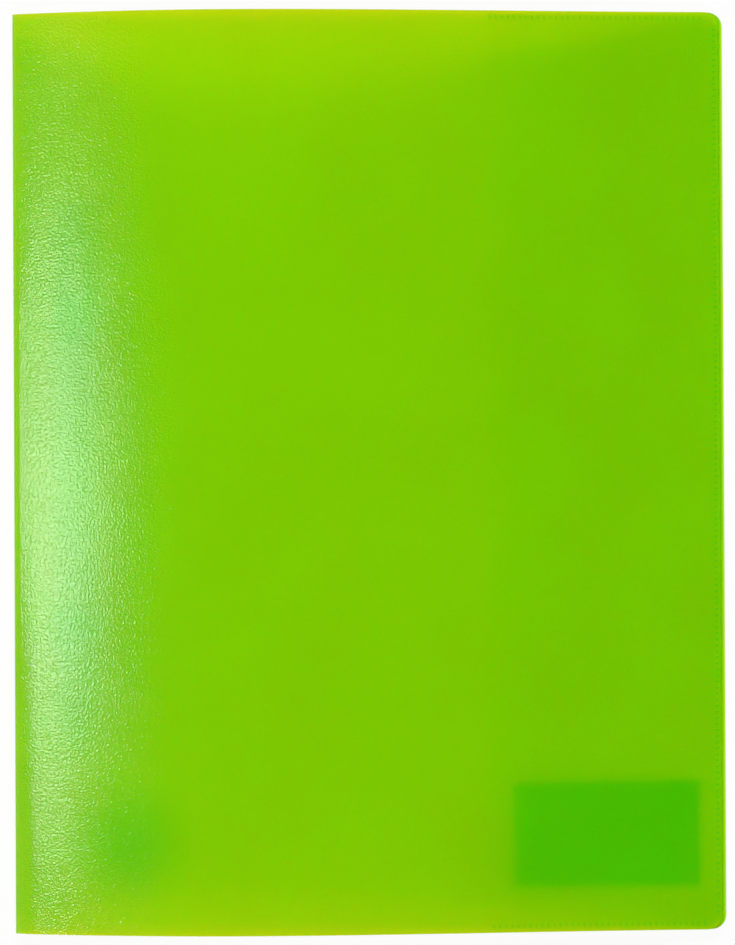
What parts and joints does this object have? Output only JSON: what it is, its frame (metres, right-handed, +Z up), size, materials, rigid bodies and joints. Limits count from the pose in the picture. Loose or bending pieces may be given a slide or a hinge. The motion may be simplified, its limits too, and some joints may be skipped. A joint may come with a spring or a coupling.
{
  "type": "fastener folder",
  "caption": "A4 folder of coloured translucent plastic film, lying closed, with a two-prong sheet fastener, an inner pocket and a label pocket.",
  "frame": {"origin": "middle of the closed folder's footprint, on the table that its back cover lies on", "axes": "+Z up out of the front cover, +Y towards the top edge of the sheets, spine on the -X side, free edges on the +X side"},
  "size_m": [0.24, 0.31, 0.0148],
  "materials": {
    "cover_film": "translucent green film, fine sandy grain",
    "strip_film": "translucent green film, smooth",
    "pocket_film": "thin translucent film, smooth",
    "label_film": "thin clear film",
    "label_card": "uncoated blank card",
    "steel": "bright rolled strip",
    "bar_plastic": "moulded, satin"
  },
  "bodies": {
    "back": {"back_cover": "cover_film", "filing_strip": "strip_film", "fastener_strip": "steel", "cover_bar": "bar_plastic"},
    "spine": {"spine_panel": "cover_film"},
    "front": {"front_cover": "cover_film", "inner_pocket": "pocket_film", "label_pocket": "label_film"},
    "label_card": {"label_card": "label_card"},
    "lock_upper": {"lock_upper": "bar_plastic"},
    "lock_lower": {"lock_lower": "bar_plastic"}
  },
  "joints": [
    {"name": "spine_crease", "type": "hinge", "parent": "back", "child": "spine", "pos_m": [-0.11942, 0, 0.00058], "axis": [0, -1, 0], "range_deg": [0, 43]},
    {"name": "cover_crease", "type": "hinge", "parent": "spine", "child": "front", "pos_m": [-0.11942, 0, 0.00387], "axis": [0, -1, 0], "range_deg": [0, 129]},
    {"name": "card_slide", "type": "slide", "parent": "front", "child": "label_card", "axis": [-0.9982, 0, 0.0602], "range_m": [0, 0.066]},
    {"name": "lock_upper_slide", "type": "slide", "parent": "back", "child": "lock_upper", "axis": [0, -1, 0], "range_m": [0, 0.03]},
    {"name": "lock_lower_slide", "type": "slide", "parent": "back", "child": "lock_lower", "axis": [0, 1, 0], "range_m": [0, 0.03]}
  ],
  "couplings": [
    {"joint": "spine_crease", "follows": "cover_crease", "ratio": 0.33333}
  ]
}
